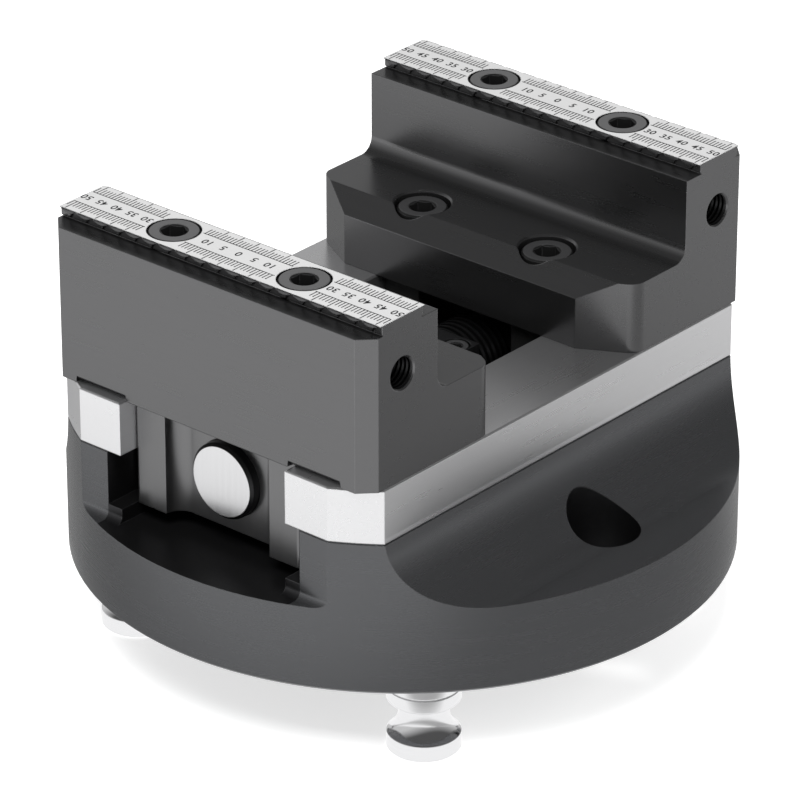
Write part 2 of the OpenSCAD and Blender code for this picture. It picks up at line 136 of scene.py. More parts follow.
def coat(obj: bpy.types.Object, material: bpy.types.Material) -> None:
    """Gives an object one material in place of those it has.

    Args:
        obj: The object.
        material: Its material.
    """
    obj.data.materials.clear()
    obj.data.materials.append(material)


def dress(nodes: tuple[str, ...], material: bpy.types.Material) -> None:
    """Puts one material on some CAD nodes.

    Args:
        nodes: The nodes' names.
        material: Their material.
    """
    for node in nodes:
        coat(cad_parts[node], material)
        log.info("dressed %s with %s", node, material.name)


def report(piece: bpy.types.Object) -> None:
    """Logs a finished piece and its number of faces."""
    log.info("piece %s: %d faces", piece.name, len(piece.data.polygons))


# Helpers for shader nodes


class NodeSheet:
    """A node tree, with short calls that add nodes to it and join them."""

    # Numbers of a Mix node's two inputs and its output
    COLOUR_MIX = (6, 7, 2)
    VALUE_MIX = (2, 3, 0)

    def __init__(self, tree: bpy.types.NodeTree) -> None:
        """Takes the tree that the nodes go into."""
        self.tree = tree

    def node(self, kind: str, **settings: object) -> bpy.types.Node:
        """Adds a node.

        Args:
            kind: The node's type.
            settings: Properties of the node, by name.

        Returns:
            The new node.
        """
        made = self.tree.nodes.new(kind)
        for key, value in settings.items():
            setattr(made, key, value)
        return made

    def put(self, value: object, target: Socket) -> None:
        """Joins a socket to an input, or sets the input to a constant.

        Args:
            value: The socket or the constant.
            target: The input.
        """
        if isinstance(value, Socket):
            self.tree.links.new(value, target)
        else:
            target.default_value = value

    def maths(self, operation: str, a: object, b: object = 0.0, clamp: bool = False) -> Socket:
        """Adds a Math node on two sockets or numbers.

        Args:
            operation: The node's operation.
            a: First socket or number.
            b: Second socket or number.
            clamp: Whether the result is kept from 0 to 1.

        Returns:
            The result's socket.
        """
        made = self.node("ShaderNodeMath", operation=operation, use_clamp=clamp)
        self.put(a, made.inputs[0])
        self.put(b, made.inputs[1])
        return made.outputs[0]

    def vector_maths(self, operation: str, a: object, b: object = (0.0, 0.0, 0.0)) -> bpy.types.Node:
        """Adds a Vector Math node on two sockets or vectors.

        Args:
            operation: The node's operation.
            a: First socket or vector.
            b: Second socket or vector.

        Returns:
            The node, whose outputs are Vector and Value.
        """
        made = self.node("ShaderNodeVectorMath", operation=operation)
        self.put(a, made.inputs[0])
        self.put(b, made.inputs[1])
        return made

    def mix(self, factor: Socket, a: object, b: object, colour: bool = False) -> Socket:
        """Mixes two values or two colours by a factor.

        Args:
            factor: The mask's socket.
            a: Socket or constant where the mask is 0.
            b: Socket or constant where the mask is 1.
            colour: Whether these are colours.

        Returns:
            The result's socket.
        """
        made = self.node("ShaderNodeMix", data_type="RGBA" if colour else "FLOAT")
        first, second, result = self.COLOUR_MIX if colour else self.VALUE_MIX
        self.put(factor, made.inputs[0])
        for slot, value in ((first, a), (second, b)):
            constant = colour and not isinstance(value, Socket)
            self.put((*value, 1.0) if constant else value, made.inputs[slot])
        return made.outputs[result]

    def spread(self, value: Socket, source: Span, target: Span = (0.0, 1.0)) -> Socket:
        """Maps a value from one range to another and clamps it there.

        Args:
            value: The value's socket.
            source: Two ends of the value's range.
            target: What these two become.

        Returns:
            The result's socket.
        """
        made = self.node("ShaderNodeMapRange")
        for name, number in zip(("From Min", "From Max", "To Min", "To Max"), (*source, *target)):
            made.inputs[name].default_value = number
        self.put(value, made.inputs["Value"])
        return made.outputs[0]

    def noise(self, vector: Socket, scale: object, detail: float, roughness: float = 0.5) -> Socket:
        """Adds a noise texture.

        Args:
            vector: Its coordinates.
            scale: Its scale, as a socket or a number.
            detail: Its number of octaves.
            roughness: How strong the small octaves are.

        Returns:
            The socket of its value.
        """
        made = self.node("ShaderNodeTexNoise", noise_dimensions="3D")
        self.put(vector, made.inputs["Vector"])
        self.put(scale, made.inputs["Scale"])
        made.inputs["Detail"].default_value = detail
        made.inputs["Roughness"].default_value = roughness
        return made.outputs["Fac"]


class SocketKind(Enum):
    """Socket types of the shared shader groups."""

    VALUE = "NodeSocketFloat"
    VECTOR = "NodeSocketVector"


class ShaderGroup(NodeSheet):
    """A shared shader effect with named inputs and outputs."""

    def __init__(self, name: str, inputs: dict[str, tuple[SocketKind, object]],
                 outputs: dict[str, SocketKind]) -> None:
        """Makes the empty group.

        Args:
            name: The group's name.
            inputs: Socket names with their types and default values.
            outputs: Socket names with their types.
        """
        super().__init__(bpy.data.node_groups.new(name, "ShaderNodeTree"))
        for key, (kind, value) in inputs.items():
            socket = self.tree.interface.new_socket(name=key, in_out="INPUT", socket_type=kind.value)
            if value is not None:
                socket.default_value = value
        for key, kind in outputs.items():
            self.tree.interface.new_socket(name=key, in_out="OUTPUT", socket_type=kind.value)
        self.entry = self.node("NodeGroupInput")
        self.exit = self.node("NodeGroupOutput")


@dataclass(frozen=True)
class GrainEffect:
    """Machining marks: fine streaks stretched along one direction, and soft clouds."""

    streak_detail: float = 3.0
    streak_roughness: float = 0.65
    cloud_scale: float = 38.0
    cloud_detail: float = 4.0

    def build(self) -> bpy.types.ShaderNodeTree:
        """Builds the group.

        Returns:
            The group's node tree.
        """
        group = ShaderGroup(
            "Machining grain",
            {"Vector": (SocketKind.VECTOR, None), "Stretch": (SocketKind.VECTOR, (1.0, 1.0, 1.0)),
             "Scale": (SocketKind.VALUE, 400.0)},
            {"Marks": SocketKind.VALUE, "Clouds": SocketKind.VALUE})
        entry = group.entry.outputs
        stretched = group.vector_maths("MULTIPLY", entry["Vector"], entry["Stretch"]).outputs[0]
        streaks = group.noise(stretched, entry["Scale"], self.streak_detail, self.streak_roughness)
        group.put(streaks, group.exit.inputs["Marks"])
        clouds = group.noise(entry["Vector"], self.cloud_scale, self.cloud_detail)
        group.put(clouds, group.exit.inputs["Clouds"])
        return group.tree


@dataclass(frozen=True)
class EdgeWearEffect:
    """Mask of the sharp edges, broken up by fine noise, and their rounded normal. The mask carries edge wear
    and painted edge highlights.
    """

    width: float = 0.35 * MM
    strength: float = 6.0
    samples: int = 6
    noise_scale: float = 260.0
    noise_detail: float = 4.0
    noise_gain: float = 1.5

    def build(self) -> bpy.types.ShaderNodeTree:
        """Builds the group.

        Returns:
            The group's node tree.
        """
        group = ShaderGroup(
            "Edge wear",
            {"Vector": (SocketKind.VECTOR, None), "Width": (SocketKind.VALUE, self.width),
             "Strength": (SocketKind.VALUE, self.strength)},
            {"Mask": SocketKind.VALUE, "Normal": SocketKind.VECTOR})
        entry = group.entry.outputs
        bevel = group.node("ShaderNodeBevel", samples=self.samples)
        group.put(entry["Width"], bevel.inputs["Radius"])
        flat = group.node("ShaderNodeNewGeometry").outputs["Normal"]
        likeness = group.vector_maths("DOT_PRODUCT", bevel.outputs["Normal"], flat).outputs["Value"]
        turned = group.maths("SUBTRACT", 1.0, likeness, clamp=True)
        strong = group.maths("MULTIPLY", turned, entry["Strength"], clamp=True)
        noise = group.noise(entry["Vector"], self.noise_scale, self.noise_detail)
        broken = group.maths("MULTIPLY", noise, self.noise_gain, clamp=True)
        group.put(group.maths("MULTIPLY", strong, broken, clamp=True), group.exit.inputs["Mask"])
        group.put(bevel.outputs["Normal"], group.exit.inputs["Normal"])
        return group.tree


@dataclass(frozen=True)
class ThreadEffect:
    """Screw thread round the X axis of the vector that it is given."""

    pitch: float = 2.0 * MM

    def build(self) -> bpy.types.ShaderNodeTree:
        """Builds the group, whose output is the height of the thread's flank.

        Returns:
            The group's node tree.
        """
        group = ShaderGroup(
            "Screw thread",
            {"Vector": (SocketKind.VECTOR, None), "Pitch": (SocketKind.VALUE, self.pitch)},
            {"Height": SocketKind.VALUE})
        parts = group.node("ShaderNodeSeparateXYZ")
        group.put(group.entry.outputs["Vector"], parts.inputs[0])
        angle = group.maths("ARCTAN2", parts.outputs["Y"], parts.outputs["Z"])
        turn = group.maths("DIVIDE", angle, 2 * math.pi)
        along = group.maths("DIVIDE", parts.outputs["X"], group.entry.outputs["Pitch"])
        wave = group.maths("PINGPONG", group.maths("ADD", along, turn), 0.5)
        group.put(group.maths("MULTIPLY", wave, 2.0), group.exit.inputs["Height"])
        return group.tree


GRAIN = GrainEffect().build()
EDGE_WEAR_AND_HIGHLIGHT = EdgeWearEffect().build()
THREAD = ThreadEffect().build()


# Finishes


@dataclass(frozen=True)
class MetalFinish:
    """One machined surface: its colour, gloss and marks.

    The marks run along the axis on which stretch is smallest.
    """

    colour: Triple
    roughness: float
    metallic: float
    stretch: Triple
    scale: float
    variation: float
    roughness_variation: float


@dataclass(frozen=True)
class Zone:
    """A box-shaped part of a piece where a second finish takes over, in metres."""

    low: Triple
    high: Triple


class Axis(Enum):
    """Axis of a round zone, as the index of its coordinate."""

    X = 0
    Y = 1
    Z = 2


@dataclass(frozen=True)
class RoundZone:
    """A round part of a piece, such as a bore or a shank, in metres."""

    axis: Axis
    centre: Triple
    radius: float
    low: float
    high: float


class MetalMaterial(NodeSheet):
    """A metal material, with other finishes and threads inside some zones."""

    MARK_SHARE = 0.6
    CLOUD_SHARE = 0.4
    LEAST_ROUGHNESS = 0.02
    MARK_HEIGHT = 0.02 * MM
    THREAD_HEIGHT = 0.5 * MM
    # Painted shade in thread grooves: its colour, and how far it darkens them
    GROOVE_COLOUR = (0.02, 0.02, 0.02)
    GROOVE_SHADE = 0.7

    def __init__(self, name: str, base: MetalFinish, wear: Triple, wear_amount: float = 0.5,
                 bump: float = 0.12) -> None:
        """Makes the material with its first finish.

        Args:
            name: The material's name.
            base: The finish of the whole surface.
            wear: Colour of the sharp edges, for wear and painted highlights.
            wear_amount: How far the edges take that colour, from 0 to 1.
            bump: Strength of the marks in the surface.
        """
        self.material = bpy.data.materials.new(name)
        self.material.use_nodes = True
        super().__init__(self.material.node_tree)
        self.tree.nodes.clear()
        self.coordinates = self.node("ShaderNodeTexCoord").outputs["Object"]
        self.wear = wear
        self.wear_amount = wear_amount
        self.bump = bump
        self.colour, self.roughness, self.height = self._surface(base)
        self.metallic: object = base.metallic
        self.threads: list[tuple[Socket, Socket]] = []

    def _group(self, group: bpy.types.ShaderNodeTree, vector: Socket, **inputs: object) -> bpy.types.Node:
        """Places a shared effect in the material.

        Args:
            group: The effect's node tree.
            vector: Its coordinates.
            inputs: Values of its other inputs, by name.

        Returns:
            The group's node.
        """
        placed = self.node("ShaderNodeGroup", node_tree=group)
        self.put(vector, placed.inputs["Vector"])
        for key, value in inputs.items():
            placed.inputs[key].default_value = value
        return placed

    def _surface(self, finish: MetalFinish) -> tuple[Socket, Socket, Socket]:
        """Builds one finish.

        Args:
            finish: The finish.

        Returns:
            The sockets of its colour, roughness and height.
        """
        grain = self._group(GRAIN, self.coordinates, Stretch=finish.stretch, Scale=finish.scale).outputs
        marks = self.maths("MULTIPLY", grain["Marks"], self.MARK_SHARE)
        both = self.maths("ADD", marks, self.maths("MULTIPLY", grain["Clouds"], self.CLOUD_SHARE))
        dark = tuple(part * (1 - finish.variation) for part in finish.colour)
        light = tuple(min(1.0, part * (1 + finish.variation)) for part in finish.colour)
        low = max(self.LEAST_ROUGHNESS, finish.roughness - finish.roughness_variation)
        high = min(1.0, finish.roughness + finish.roughness_variation)
        return self.mix(both, dark, light, True), self.mix(both, low, high), grain["Marks"]

    def _inside(self, zone: Zone) -> Socket:
        """Builds the mask of a box-shaped zone.

        Args:
            zone: The zone.

        Returns:
            The socket of a value that is 1 inside it.
        """
        parts = self.node("ShaderNodeSeparateXYZ")
        self.put(self.coordinates, parts.inputs[0])
        mask = None
        for axis in range(3):
            low = self.maths("GREATER_THAN", parts.outputs[axis], zone.low[axis])
            high = self.maths("LESS_THAN", parts.outputs[axis], zone.high[axis])
            both = self.maths("MULTIPLY", low, high)
            mask = both if mask is None else self.maths("MULTIPLY", mask, both)
        return mask

    def _inside_round(self, zone: RoundZone) -> tuple[Socket, Socket]:
        """Builds the mask of a round zone.

        Args:
            zone: The zone.

        Returns:
            The socket of a value that is 1 inside it, and that of the place from its centre
            with X along its axis.
        """
        parts = self.node("ShaderNodeSeparateXYZ")
        self.put(self.vector_maths("SUBTRACT", self.coordinates, zone.centre).outputs[0], parts.inputs[0])
        order = [(zone.axis.value + step) % 3 for step in range(3)]
        turned = self.node("ShaderNodeCombineXYZ")
        for slot, axis in enumerate(order):
            self.put(parts.outputs[axis], turned.inputs[slot])
        squares = [self.maths("POWER", parts.outputs[axis], 2.0) for axis in order[1:]]
        distance = self.maths("SQRT", self.maths("ADD", squares[0], squares[1]))
        along = parts.outputs[order[0]]
        ends = self.maths("MULTIPLY", self.maths("GREATER_THAN", along, zone.low),
                          self.maths("LESS_THAN", along, zone.high))
        return self.maths("MULTIPLY", self.maths("LESS_THAN", distance, zone.radius), ends), turned.outputs[0]

    def overlay(self, finish: MetalFinish, zones: list[Zone | RoundZone]) -> "MetalMaterial":
        """Lets a second finish take over inside the zones.

        Args:
            finish: The second finish.
            zones: Where it shows.

        Returns:
            This material.
        """
        mask = None
        for zone in zones:
            part = self._inside(zone) if isinstance(zone, Zone) else self._inside_round(zone)[0]
            mask = part if mask is None else self.maths("MAXIMUM", mask, part)
        colour, roughness, height = self._surface(finish)
        self.colour = self.mix(mask, self.colour, colour, True)
        self.roughness = self.mix(mask, self.roughness, roughness)
        self.height = self.mix(mask, self.height, height)
        if self.metallic != finish.metallic:
            self.metallic = self.mix(mask, self.metallic, finish.metallic)
        return self

    def thread(self, zones: list[RoundZone], pitch: float) -> "MetalMaterial":
        """Cuts the look of a screw thread into the surface inside the zones.

        Args:
            zones: The threaded bores or shanks.
            pitch: The thread's pitch in metres.

        Returns:
            This material.
        """
        for zone in zones:
            mask, turned = self._inside_round(zone)
            self.threads.append((mask, self._group(THREAD, turned, Pitch=pitch).outputs["Height"]))
        return self

    def _raise(self, height: Socket, strength: float, distance: float, normal: Socket) -> Socket:
        """Adds a Bump node on top of a normal.

        Args:
            height: The height's socket.
            strength: The bump's strength.
            distance: What a height of 1 stands for, in metres.
            normal: The normal under it.

        Returns:
            The new normal's socket.
        """
        bump = self.node("ShaderNodeBump")
        for key, value in (("Strength", strength), ("Distance", distance),
                           ("Height", height), ("Normal", normal)):
            self.put(value, bump.inputs[key])
        return bump.outputs["Normal"]

    def _cut_threads(self, normal: Socket) -> Socket:
        """Adds the threads to a normal, and paints shade into their grooves.

        Args:
            normal: The normal without them.

        Returns:
            The normal with them.
        """
        height, grooves = None, None
        for inside, flank in self.threads:
            rise = self.maths("MULTIPLY", inside, flank)
            groove = self.maths("SUBTRACT", inside, rise)
            height = rise if height is None else self.maths("ADD", height, rise)
            grooves = groove if grooves is None else self.maths("ADD", grooves, groove)
        # Painted shade: the grooves are darkened towards near-black
        shade = self.maths("MULTIPLY", grooves, self.GROOVE_SHADE)
        self.colour = self.mix(shade, self.colour, self.GROOVE_COLOUR, True)
        return self._raise(height, 1.0, self.THREAD_HEIGHT, normal)

    def finish(self) -> bpy.types.Material:
        """Wires the shader.

        Returns:
            The finished material.
        """
        edge = self._group(EDGE_WEAR_AND_HIGHLIGHT, self.coordinates).outputs
        worn_and_highlit = self.maths("MULTIPLY", edge["Mask"], self.wear_amount)
        normal = self._raise(self.height, self.bump, self.MARK_HEIGHT, edge["Normal"])
        if self.threads:
            normal = self._cut_threads(normal)
        shader = self.node("ShaderNodeBsdfPrincipled")
        # Painted highlight and wear: sharp edges take the lighter edge colour
        colour = self.mix(worn_and_highlit, self.colour, self.wear, True)
        for key, value in (("Base Color", colour), ("Roughness", self.roughness),
                           ("Metallic", self.metallic), ("Normal", normal)):
            self.put(value, shader.inputs[key])
        self.put(shader.outputs[0], self.node("ShaderNodeOutputMaterial").inputs["Surface"])
        return self.material


ACROSS = (1.0, 0.06, 1.0)
ALONG = (0.06, 1.0, 1.0)
AROUND = (0.08, 0.08, 2.2)
UPRIGHT = (1.0, 1.0, 0.08)
UPRIGHT_FINE = (1.0, 1.0, 0.05)
EVEN = (1.0, 1.0, 1.0)

RIDGE_STEEL = MetalFinish((0.72, 0.72, 0.72), 0.46, 0.25, ACROSS, 900.0, 0.04, 0.06)
RAIL_STEEL = MetalFinish((0.88, 0.88, 0.89), 0.28, 0.96, ALONG, 700.0, 0.03, 0.03)
BRIGHT_STEEL = MetalFinish((0.86, 0.86, 0.87), 0.12, 1.0, AROUND, 600.0, 0.05, 0.05)
END_STEEL = MetalFinish((0.84, 0.84, 0.85), 0.24, 1.0, UPRIGHT_FINE, 900.0, 0.10, 0.06)
JAW_STEEL = MetalFinish((0.170, 0.170, 0.173), 0.28, 0.95, ACROSS, 520.0, 0.05, 0.04)
TOOTH_STEEL = MetalFinish((0.120, 0.120, 0.122), 0.30, 0.95, ACROSS, 900.0, 0.12, 0.06)
BODY_OXIDE = MetalFinish((0.118, 0.120, 0.125), 0.27, 0.82, AROUND, 420.0, 0.07, 0.05)
# Painted shade: a near-black finish for the base's slot and bores
SLOT_AND_BORE_SHADE = MetalFinish((0.045, 0.045, 0.047), 0.34, 0.90, ALONG, 500.0, 0.20, 0.08)
CARRIAGE_OXIDE = MetalFinish((0.215, 0.215, 0.218), 0.30, 0.95, UPRIGHT, 500.0, 0.10, 0.06)
# Near-black oxide of the spindle, also used as painted shade inside the jaws' tapped holes
BLACK_OXIDE_AND_BORE_SHADE = MetalFinish((0.032, 0.032, 0.033), 0.34, 0.90, AROUND, 800.0, 0.15, 0.08)
HEAD_OXIDE = MetalFinish((0.150, 0.150, 0.152), 0.46, 0.45, EVEN, 1400.0, 0.14, 0.08)
STEP_HEAD_OXIDE = MetalFinish((0.080, 0.080, 0.082), 0.42, 0.60, EVEN, 1400.0, 0.14, 0.08)
# Painted shade: a near-black finish for screw sockets and the sides of the heads
SOCKET_SHADE = MetalFinish((0.012, 0.012, 0.012), 0.55, 0.30, EVEN, 1400.0, 0.30, 0.10)
BEARING_STEEL = MetalFinish((0.060, 0.060, 0.062), 0.34, 0.90, ACROSS, 700.0, 0.12, 0.06)
LASER_MARKING = MetalFinish((0.035, 0.035, 0.037), 0.60, 0.10, EVEN, 2600.0, 0.35, 0.10)
# Edge colours, for wear and for painted edge highlights
WEAR_AND_HIGHLIGHT = (0.38, 0.38, 0.39)
FAINT_WEAR_AND_HIGHLIGHT = (0.20, 0.20, 0.21)
SHINY_EDGE = (0.90, 0.90, 0.90)


# The jaws


@dataclass
class RidgeRule:
    """The 1 mm rule on top of a jaw's ridge, modelled once and copied to both jaws."""

    marks_top: float = JAW_TOP + 0.02 * MM
    sink: float = 0.04 * MM
    line_offset: float = 3.33 * MM
    short_tick: float = 2.8 * MM
    long_tick: float = 4.35 * MM
    stroke: float = 0.26 * MM
    tick_stroke: float = 0.30 * MM
    digit_height: float = 2.2 * MM
    digit_share: float = 0.70
    digit_weight: float = 0.016
    digit_spacing: float = 1.08
    digit_steps: int = 3
    numbers: tuple[int, ...] = (0, 5, 10, 30, 35, 40, 45, 50)
    long_every: int = 5
    screw_gap: tuple[int, int] = (15, 27)
    line_gap: float = 0.5
    last_mark: int = 51

    def _bars(self, size: Span, places: list[Span]) -> list[bpy.types.Object]:
        """Models one straight mark and copies it to its places.

        Args:
            size: Its size along X and Y.
            places: The X and Y of each copy's centre.

        Returns:
            The copies.
        """
        bpy.ops.object.select_all(action="DESELECT")
        bpy.ops.mesh.primitive_cube_add(size=1.0, location=(0, 0, 0))
        bar = bpy.context.active_object
        bpy.ops.object.mode_set(mode="EDIT")
        bpy.ops.mesh.select_all(action="SELECT")
        bpy.ops.transform.resize(value=(*size, self.sink))
        bpy.ops.object.mode_set(mode="OBJECT")
        copies = []
        for place in places:
            copies.append(duplicate(bar))
            copies[-1].location = (*place, self.marks_top - self.sink / 2)
        bpy.data.objects.remove(bar)
        return copies

    def _ticks(self) -> list[bpy.types.Object]:
        """Makes both rows of ticks, clear of the bolt heads and every fifth one longer.

        Returns:
            The ticks.
        """
        ticks = []
        low, high = self.screw_gap
        marks = [mark for mark in range(-self.last_mark, self.last_mark + 1) if not low <= abs(mark) <= high]
        for is_long, length in ((False, self.short_tick), (True, self.long_tick)):
            places = [(side * (self.line_offset + length / 2), mark * MM)
                      for mark in marks if (mark % self.long_every == 0) == is_long for side in (-1, 1)]
            ticks += self._bars((length, self.tick_stroke), places)
        return ticks

    def _lines(self) -> list[bpy.types.Object]:
        """Makes the two long lines, broken at the bolt heads.

        Returns:
            The parts of the lines.
        """
        lines = []
        near, far = self.screw_gap[0] - self.line_gap, self.screw_gap[1] + self.line_gap
        outer = (far + self.last_mark) / 2
        for length, centres in ((self.last_mark - far, (-outer, outer)), (2 * near, (0.0,))):
            places = [(side * self.line_offset, centre * MM) for centre in centres for side in (-1, 1)]
            lines += self._bars((self.stroke, length * MM), places)
        return lines

    def _number(self, value: int) -> list[bpy.types.Object]:
        """Models one number and copies it to both sides of the middle.

        Args:
            value: The number.

        Returns:
            One object for 0, and two for every other number.
        """
        bpy.ops.object.select_all(action="DESELECT")
        bpy.ops.object.text_add(location=(0, 0, 0))
        text = bpy.context.active_object
        text.data.body = str(value)
        text.data.align_x = "CENTER"
        text.data.size = self.digit_height / self.digit_share
        text.data.extrude = self.sink / 2
        text.data.offset = self.digit_weight * text.data.size
        text.data.resolution_u = self.digit_steps
        text.data.space_character = self.digit_spacing
        activate(text)
        bpy.ops.object.convert(target="MESH")
        number = bpy.context.active_object
        lift = Matrix.Translation((0, -self.digit_height / 2, 0))
        height = Matrix.Translation((0, 0, self.marks_top - self.sink / 2))
        number.matrix_world = height @ Matrix.Rotation(-math.pi / 2, 4, "Z") @ lift
        settle(number, "number")
        numbers = [number] if value == 0 else [number, duplicate(number)]
        for side, copy in zip((-1, 1), numbers):
            copy.location.y = side * value * MM
        return numbers

    def model(self, ink: bpy.types.Material) -> bpy.types.Object:
        """Models the rule as one object, centred over X and Y 0.

        Args:
            ink: Material of the marks.

        Returns:
            The rule to copy from.
        """
        marks = self._ticks() + self._lines()
        for value in self.numbers:
            marks += self._number(value)
        rule = join(marks, "rule")
        coat(rule, ink)
        return rule

    def place(self, model: bpy.types.Object, side: str, x: float, turned: bool) -> None:
        """Copies the rule to one jaw.

        Args:
            model: The rule to copy.
            side: The jaw, near or far.
            x: The middle of its ridge.
            turned: Whether the rule is turned half round.
        """
        rule = duplicate(model)
        rule.location.x = x
        rule.rotation_euler.z = math.pi if turned else 0.0
        settle(rule, f"{side}_rule")
        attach(rule, f"{side}_slide")
        report(rule)


@dataclass
class LipTeeth:
    """A row of round-nosed teeth, modelled once and copied to the four lips of the ridges."""

    pitch: float = 5.4 * MM
    half_width: float = 2.55 * MM
    drop: float = 1.0 * MM
    top_gap: float = 0.06 * MM
    reach: float = 0.5 * MM
    slope: float = 0.15 * MM
    rim: float = 0.42 * MM
    dish: float = 0.13 * MM
    sink: float = 0.05 * MM
    edge: float = 0.08 * MM
    sharp_angle: float = math.radians(40)
    smooth_angle: float = math.radians(35)
    count: int = 19
    sides: int = 48

    def _tooth(self) -> bpy.types.Object:
        """Shapes the first tooth: a disc extruded off the lip, dished, cut off at its top and bevelled.

        Returns:
            The tooth, for a lip at X 0 that faces +X.
        """
        radius = (self.half_width ** 2 + self.drop ** 2) / (2 * self.drop)
        first = -(self.count - 1) / 2 * self.pitch
        bpy.ops.object.select_all(action="DESELECT")
        bpy.ops.mesh.primitive_circle_add(vertices=self.sides, radius=radius, fill_type="NGON",
                                          location=(-self.sink, first, JAW_TOP - self.drop + radius),
                                          rotation=(0, math.pi / 2, 0))
        tooth = bpy.context.active_object
        settle(tooth, "tooth")
        bpy.ops.object.mode_set(mode="EDIT")
        bpy.ops.mesh.select_all(action="SELECT")
        bpy.ops.mesh.extrude_region_move(TRANSFORM_OT_translate={"value": (self.reach + self.sink, 0, 0)})
        bpy.ops.mesh.inset(thickness=self.rim, depth=0.0)
        bpy.ops.transform.translate(value=(-self.dish, 0, 0))
        bpy.ops.mesh.select_all(action="SELECT")
        bpy.ops.mesh.normals_make_consistent(inside=False)
        bpy.ops.mesh.bisect(plane_co=(0, 0, JAW_TOP - self.top_gap), use_fill=True, clear_outer=True,
                            plane_no=Vector((self.slope, 0, self.reach)).normalized())
        bpy.ops.object.mode_set(mode="OBJECT")
        edge = tooth.modifiers.new("Edge", "BEVEL")
        edge.width = self.edge
        edge.segments = 1
        edge.limit_method = "ANGLE"
        edge.angle_limit = self.sharp_angle
        return tooth

    def model(self, steel: bpy.types.Material) -> bpy.types.Object:
        """Models the row.

        Args:
            steel: The teeth's material.

        Returns:
            The row to copy from, for a lip at X 0 that faces +X.
        """
        row = self._tooth()
        copies = row.modifiers.new("Row", "ARRAY")
        copies.use_relative_offset = False
        copies.use_constant_offset = True
        copies.constant_offset_displace = (0.0, self.pitch, 0.0)
        copies.count = self.count
        apply_all(row)
        bpy.ops.object.shade_smooth_by_angle(angle=self.smooth_angle)
        coat(row, steel)
        return row

    def place(self, model: bpy.types.Object, side: str, word: str, x: float, outward: int) -> None:
        """Copies the row to one lip.

        Args:
            model: The row to copy.
            side: The jaw, near or far.
            word: The lip's word in the piece's name.
            x: The lip's place.
            outward: 1 for a lip that faces +X, -1 for one that faces -X.
        """
        row = duplicate(model)
        row.location.x = x
        row.rotation_euler.z = 0.0 if outward > 0 else math.pi
        settle(row, f"{side}_teeth_{word}")
        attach(row, f"{side}_slide")
        report(row)


@dataclass
class Jaws:
    """Both jaws, with their ridges, toothed lips, rules and tapped end holes."""

    ridge_half: float = 7.9 * MM
    ridge_depth: float = 0.15 * MM
    hole_x: float = 60.35 * MM
    hole_z: float = 107.7 * MM
    hole_radius: float = 4.1 * MM
    hole_bottom: float = 35.0 * MM
    hole_mouth: float = 51.3 * MM
    hole_pitch: float = 1.25 * MM
    wear: float = 0.6
    tooth_wear: float = 0.9
    ink_bump: float = 0.05

    def _steel(self) -> bpy.types.Material:
        """Builds the jaws' material: dark, with a ground ridge, and with shade painted near-black into the
        tapped holes.

        Returns:
            The material.
        """
        ridge = Zone((-OPEN, -OPEN, JAW_TOP - self.ridge_depth), (OPEN, OPEN, OPEN))
        holes = []
        for side in (-1, 1):
            centre = (side * self.hole_x, 0.0, self.hole_z)
            for low, high in ((-self.hole_mouth, -self.hole_bottom), (self.hole_bottom, self.hole_mouth)):
                holes.append(RoundZone(Axis.Y, centre, self.hole_radius, low, high))
        steel = MetalMaterial("Jaw steel", JAW_STEEL, WEAR_AND_HIGHLIGHT, self.wear)
        # Painted shade: the tapped holes take the near-black finish
        steel.overlay(RIDGE_STEEL, [ridge]).overlay(BLACK_OXIDE_AND_BORE_SHADE, holes)
        return steel.thread(holes, self.hole_pitch).finish()

    def build(self) -> None:
        """Dresses both jaws, and adds their rules and teeth."""
        dress(("near_jaw", "far_jaw"), self._steel())
        rule, teeth = RidgeRule(), LipTeeth()
        ink = MetalMaterial("Laser marking", LASER_MARKING, LASER_MARKING.colour, 0.0, self.ink_bump)
        rule_model = rule.model(ink.finish())
        row_model = teeth.model(MetalMaterial("Tooth steel", TOOTH_STEEL, WEAR_AND_HIGHLIGHT, self.tooth_wear).finish())
        for side, turned in (("near", True), ("far", False)):
            low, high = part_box(f"{side}_wall_bolts")
            middle = (low[0] + high[0]) / 2
            rule.place(rule_model, side, middle, turned)
            for word, outward in (("low_x", -1), ("high_x", 1)):
                teeth.place(row_model, side, word, middle + outward * self.ridge_half, outward)
        for model in (rule_model, row_model):
            bpy.data.objects.remove(model)


# The base, the slides and the screws


